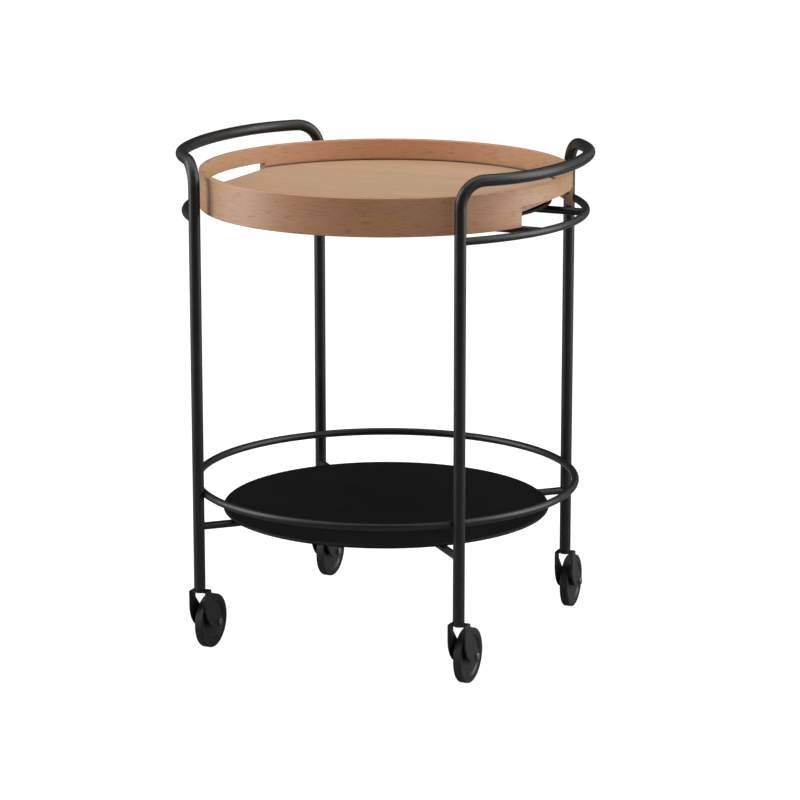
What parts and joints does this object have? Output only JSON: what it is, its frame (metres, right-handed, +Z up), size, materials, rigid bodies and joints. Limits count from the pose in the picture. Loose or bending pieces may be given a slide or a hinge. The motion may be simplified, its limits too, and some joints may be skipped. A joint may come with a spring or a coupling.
{
  "type": "room service table",
  "caption": "Round two-level serving trolley with bent tube sides, a lift-off wooden tray, a lower steel shelf disc with a guard ring and swivel casters.",
  "frame": {"origin": "on the floor under the middle of the trolley", "axes": "+Z up, +X toward the right handle, +Y away from the picture's camera, to the side the casters trail"},
  "size_m": [0.5658, 0.541, 0.6959],
  "materials": {
    "black_frame": "matt black powder coat, fine texture",
    "black_disc": "matt black powder coat, fine texture",
    "oak_band": "clear matt lacquer over bent wood, level grain",
    "oak_floor": "clear matt lacquer, fine straight grain",
    "pad_rubber": "black, matt",
    "fork_black": "black powder coat",
    "plug_steel": "zinc plated",
    "bolt_steel": "dull zinc plated",
    "hub_black": "moulded black nylon",
    "tyre_black": "smooth black rubber"
  },
  "bodies": {
    "stand": {"frame_left": "black_frame", "frame_right": "black_frame", "upper_arc_left": "black_frame", "upper_arc_right": "black_frame", "upper_bar_front": "black_frame", "upper_bar_rear": "black_frame", "lower_rail": "black_frame", "lower_cross_through": "black_frame", "lower_cross_front": "black_frame", "lower_cross_rear": "black_frame", "lower_disc": "black_disc", "upper_disc": "black_disc", "disc_spacers": "pad_rubber", "leg_plug_fl": "plug_steel", "pivot_bolt_fl": "bolt_steel", "pivot_collar_fl": "fork_black", "leg_plug_rl": "plug_steel", "pivot_bolt_rl": "bolt_steel", "pivot_collar_rl": "fork_black", "leg_plug_fr": "plug_steel", "pivot_bolt_fr": "bolt_steel", "pivot_collar_fr": "fork_black", "leg_plug_rr": "plug_steel", "pivot_bolt_rr": "bolt_steel", "pivot_collar_rr": "fork_black"},
    "tray": {"tray_band": "oak_band", "tray_floor": "oak_floor"},
    "fork_body_fl": {"fork_fl": "fork_black", "axle_bolt_fl": "bolt_steel", "axle_nut_fl": "bolt_steel"},
    "wheel_fl": {"wheel_hub_fl": "hub_black", "tyre_fl": "tyre_black"},
    "fork_body_rl": {"fork_rl": "fork_black", "axle_bolt_rl": "bolt_steel", "axle_nut_rl": "bolt_steel"},
    "wheel_rl": {"wheel_hub_rl": "hub_black", "tyre_rl": "tyre_black"},
    "fork_body_fr": {"fork_fr": "fork_black", "axle_bolt_fr": "bolt_steel", "axle_nut_fr": "bolt_steel"},
    "wheel_fr": {"wheel_hub_fr": "hub_black", "tyre_fr": "tyre_black"},
    "fork_body_rr": {"fork_rr": "fork_black", "axle_bolt_rr": "bolt_steel", "axle_nut_rr": "bolt_steel"},
    "wheel_rr": {"wheel_hub_rr": "hub_black", "tyre_rr": "tyre_black"}
  },
  "joints": [
    {"name": "tray_lift", "type": "slide", "parent": "stand", "child": "tray", "axis": [0, 0, 1], "range_m": [0, 0.15]},
    {"name": "swivel_fl", "type": "hinge", "parent": "stand", "child": "fork_body_fl", "pos_m": [-0.1949, -0.1949, 0.089], "axis": [0, 0, 1], "continuous": true},
    {"name": "roll_fl", "type": "hinge", "parent": "fork_body_fl", "child": "wheel_fl", "pos_m": [-0.1949, -0.1632, 0.0379], "axis": [1, 0, 0], "continuous": true},
    {"name": "swivel_rl", "type": "hinge", "parent": "stand", "child": "fork_body_rl", "pos_m": [-0.1949, 0.1949, 0.089], "axis": [0, 0, 1], "continuous": true},
    {"name": "roll_rl", "type": "hinge", "parent": "fork_body_rl", "child": "wheel_rl", "pos_m": [-0.1949, 0.2266, 0.0379], "axis": [1, 0, 0], "continuous": true},
    {"name": "swivel_fr", "type": "hinge", "parent": "stand", "child": "fork_body_fr", "pos_m": [0.1949, -0.1949, 0.089], "axis": [0, 0, 1], "continuous": true},
    {"name": "roll_fr", "type": "hinge", "parent": "fork_body_fr", "child": "wheel_fr", "pos_m": [0.1949, -0.1632, 0.0379], "axis": [1, 0, 0], "continuous": true},
    {"name": "swivel_rr", "type": "hinge", "parent": "stand", "child": "fork_body_rr", "pos_m": [0.1949, 0.1949, 0.089], "axis": [0, 0, 1], "continuous": true},
    {"name": "roll_rr", "type": "hinge", "parent": "fork_body_rr", "child": "wheel_rr", "pos_m": [0.1923, 0.22649, 0.0379], "axis": [0.9966, 0.0819, 0], "continuous": true}
  ]
}
